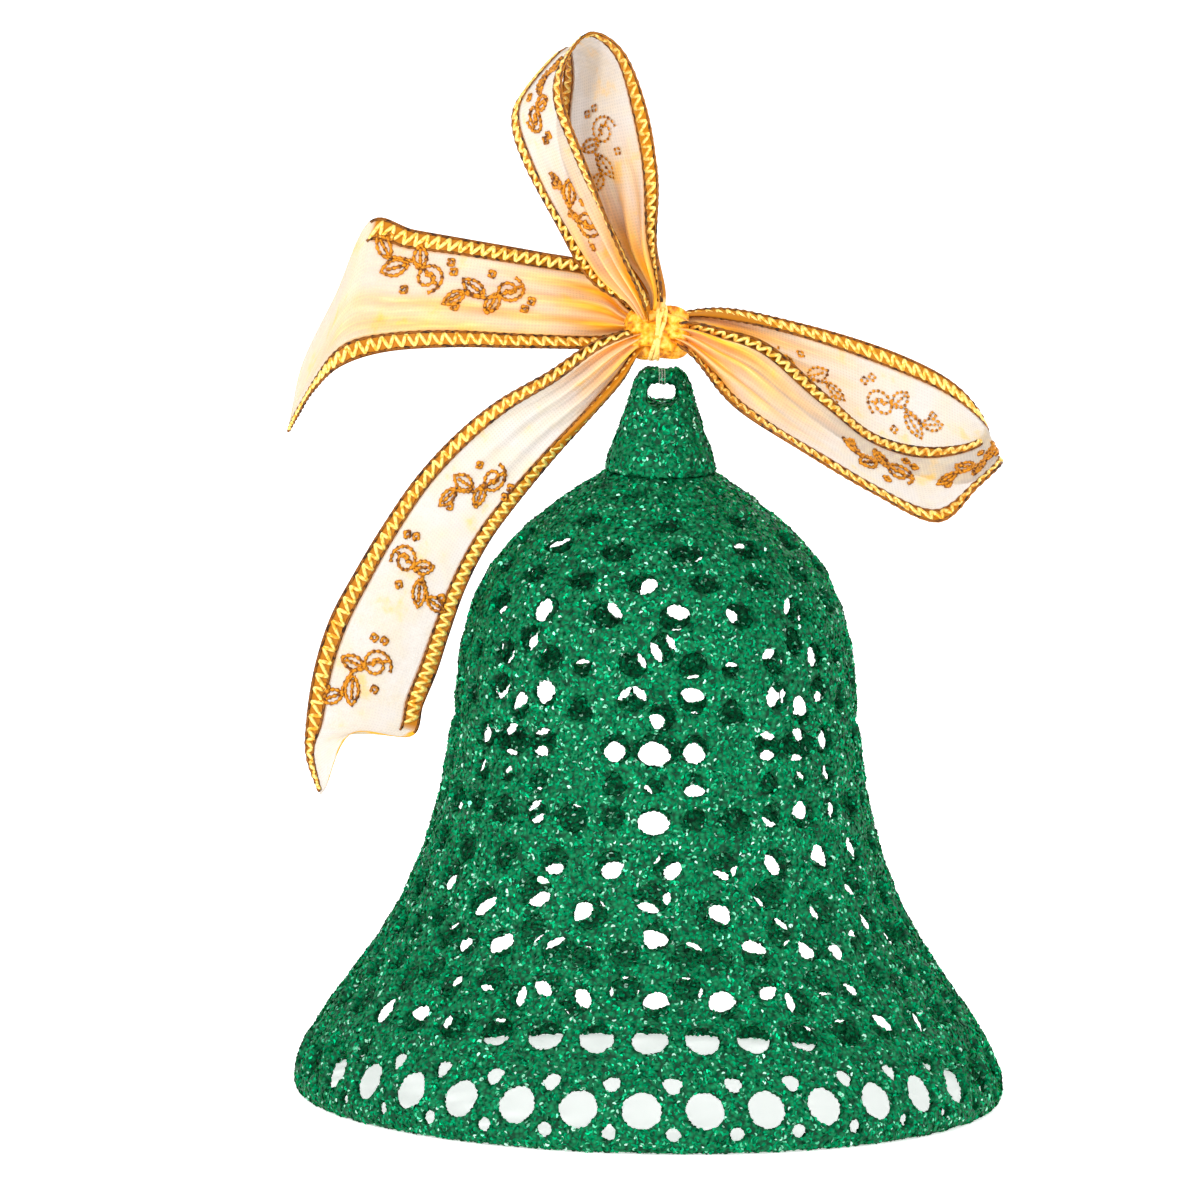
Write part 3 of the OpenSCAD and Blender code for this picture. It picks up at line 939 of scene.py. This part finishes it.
UPPER_TOP = [[-6.5, 3, 134.5], [-11, 5, 140], [-21, 5.5, 142], [-32.5, 5, 144], [-42, 5, 145.5],
             [-49.5, 4, 147], [-55, 4, 134.5], [-60.5, 3, 122.5], [-62.3, 3, 112]]
UPPER_BOTTOM = [[-7, 1.5, 128.5], [-11, 1, 126.5], [-22, -1, 126.5], [-35.5, -1, 126.5],
                [-46.5, -1, 125.5], [-54, -2, 123], [-58.5, -1, 118.5], [-61, 1.5, 114],
                [-62.6, 3, 111]]
LOWER_OUTER = [[-6.5, -3.5, 130], [-12, -4, 128], [-19, -4, 123], [-27.5, -4, 118],
               [-34.5, -3, 112], [-41, -2, 104.5], [-46.5, -1, 96], [-51, 0, 88], [-55, 1, 80],
               [-57.5, 1, 71.5], [-58.7, -1, 63], [-58.5, -4, 57], [-56, -7, 51]]
LOWER_INNER = [[-4.7, -2.5, 125.5], [-6.8, -2.5, 121.5], [-12, -2.5, 115],
               [-18.3, -2.5, 107.5], [-24.5, -2, 99.5], [-28.8, -1, 93], [-32.3, 0, 85.5],
               [-34.9, 1, 77.5], [-36.8, 2, 71], [-39, 1, 65.5], [-41, -2, 60.5], [-51, -3, 61],
               [-55, -6.5, 52.5]]


def stretch(name, strip, spans, motif_places):
    """Makes one stretch of ribbon with its selvedges and embroidery, in place of its CAD node."""
    web = web_of(strip, name + "_web", spans)
    cords = selvedge_cords(strip, name + "_cords", spans)
    stitches = ladder_stitches(strip, name + "_stitches", spans)
    motifs = sprigs(strip, name + "_sprigs", motif_places)
    toward = Vector(strip.place([GATHER_REACH - 1], [0.5])[0]) - BEND_AT
    for piece in (web, cords, stitches, motifs):
        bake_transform(piece)
    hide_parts(name)


SEWN_FROM = 3
# where along each tail's edge points its aslant cut starts
UPPER_CUT_T = 6
LOWER_CUT_T = 10.85


def both_selvedges(strip):
    """Spans of stitching along both edges of a loop, clear of the knot at both ends."""
    return [(edge, SEWN_FROM, strip.length - SEWN_FROM) for edge in (0, 1)]


hanging = Strip(HANGING_NEAR, HANGING_FAR, True, 0.4, 26)
side = Strip(SIDE_UPPER, SIDE_LOWER, True, 1.7, 30)
upper = Strip(UPPER_TOP, UPPER_BOTTOM, False, 2.9, 26, 0.45)
lower = Strip(LOWER_OUTER, LOWER_INNER, False, 4.1, 15)

stretch("hanging_loop", hanging, both_selvedges(hanging),
        [(20, 0.45, 10, 1), (40, 0.55, -20, -1), (72, 0.5, 15, 1)])
stretch("side_loop", side, both_selvedges(side),
        [(22, 0.5, 0, 1), (40, 0.5, 10, -1), (66, 0.5, -10, 1), (84, 0.45, 10, -1)])
upper_cut = np.interp(UPPER_CUT_T, upper.t, upper.s)
stretch("upper_tail", upper, [(0, SEWN_FROM, upper_cut), (1, SEWN_FROM, upper.length)],
        [(24, 0.42, 6, 1), (38, 0.38, -14, -1)])
lower_cut = np.interp(LOWER_CUT_T, lower.t, lower.s)
stretch("lower_tail", lower, [(0, SEWN_FROM, lower.length - 0.5), (1, SEWN_FROM, lower_cut)],
        [(36, 0.62, -40, 1), (57, 0.35, 60, 1), (75, 0.5, -30, -1)])

# ---------------------------------------------------------------- knot and eye strap


def bundle(name, spine, radius, squeeze, pleats, depth, material):
    """Cloth drawn into a bundle of pleats round a spine, closed at both ends."""
    rows, sides = len(spine), pleats * 8
    angle = np.arange(sides) * 2 * math.pi / sides
    share = np.linspace(0, 1, rows)[:, None]
    folds = 1 + depth * np.cos(pleats * angle[None, :] + 2.2 * np.sin(5 * share))
    reach = radius[:, None] * folds
    ahead = unit(np.gradient(spine, axis=0))
    up = np.tile([0.0, 0.0, 1.0], (rows, 1))
    up = unit(up - ahead * (up * ahead).sum(1)[:, None])
    out = np.cross(ahead, up)
    high = squeeze * np.cos(angle)[None, :, None] * up[:, None]
    wide = np.sin(angle)[None, :, None] * out[:, None]
    ring = spine[:, None] + reach[..., None] * (high + wide)
    index = np.arange(rows * sides).reshape(rows, sides)
    after = np.roll(index, -1, 1)
    faces = np.stack([index[:-1], index[1:], after[1:], after[:-1]], -1).reshape(-1, 4).tolist()
    faces += [index[0].tolist(), index[-1][::-1].tolist()]
    return object_from(name, ring.reshape(-1, 3) * MM, faces, material)


KNOT_HEIGHT = 129.6
KNOT_RISE = 0.06
KNOT_FROM, KNOT_TO = -6.4, 4.4
KNOT_WAIST_X = -0.8
KNOT_REACH = 5.9
KNOT_R = 3.0
KNOT_FLARE = 0.15
KNOT_SQUEEZE = 1.35
KNOT_PLEATS = 9
KNOT_PLEAT_DEPTH = 0.12
BINDING_LEAN = 0.7
BINDING_HALF_Y = 3.4
BINDING_HALF_Z = 4.5
BINDING_R = 0.36
STRAND_GAP = 0.45
STRAND_SWAY = 0.22


def make_knot():
    """Ribbon bunched into a short waist, with the pale strand that binds it."""
    x = np.linspace(KNOT_FROM, KNOT_TO, 30)
    spine = np.stack([x, 0 * x, KNOT_HEIGHT + KNOT_RISE * x], -1)
    away = np.abs(x - KNOT_WAIST_X)
    radius = KNOT_R + KNOT_FLARE * np.clip(away / 4, 0, 1) ** 1.4
    radius *= np.sqrt(np.clip(1.02 - (away / KNOT_REACH) ** 4, 0.02, 1))
    body = bundle("knot_bundle", spine, radius, KNOT_SQUEEZE, KNOT_PLEATS, KNOT_PLEAT_DEPTH,
                  KNOT_SILK)
    turn = np.linspace(0, 2 * math.pi, 60)
    loop = np.stack([KNOT_WAIST_X + BINDING_LEAN * np.cos(turn), BINDING_HALF_Y * np.sin(turn),
                     KNOT_HEIGHT + BINDING_HALF_Z * np.cos(turn)], -1)
    strands = []
    for off, wave in ((-STRAND_GAP, 0.0), (0.0, 2.0), (STRAND_GAP, 4.0)):
        sway = STRAND_SWAY * np.sin(3 * turn + wave)
        path = loop + np.stack([off + sway, 0 * turn, 0 * turn], -1)
        strands.append(tube_along(path, np.full((len(turn), 1), BINDING_R), 8))
    binding = joined_tubes("knot_binding", strands, BINDING_SILK)
    for piece in (body, binding):
        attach(piece, "bow")
    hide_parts("knot")


make_knot()


EYE_BRIDGE = np.array([0, 0, 122.3])
STRAP_REACH = 2.15
STRAP_RISE = 6.5
STRAP_LEAN = -1.5
FILAMENT_R = 0.12


def make_strap():
    """Clear filaments of the ribbon's weave, under the bridge of the eye and up into the knot."""
    low = np.linspace(0, math.pi, 24)
    under = np.stack([0 * low, -STRAP_REACH * np.cos(low), -STRAP_REACH * np.sin(low)], -1)
    rise = np.linspace(0, 1, 12)[1:]
    back = np.stack([STRAP_LEAN * rise ** 2, STRAP_REACH * (1 - 0.6 * rise), STRAP_RISE * rise], -1)
    back += EYE_BRIDGE
    front = back[::-1] * [1, -1, 1]
    path = np.concatenate([front, under + EYE_BRIDGE, back])
    strands = []
    for off in (-STRAND_GAP, 0.0, STRAND_GAP):
        strand = path + np.array([off, 0, 0])
        strands.append(tube_along(strand, np.full((len(path), 1), FILAMENT_R), 8))
    strap = joined_tubes("eye_strap", strands, ORGANZA_STRAND)
    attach(strap, "bow")
    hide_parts("eye_sling")


make_strap()
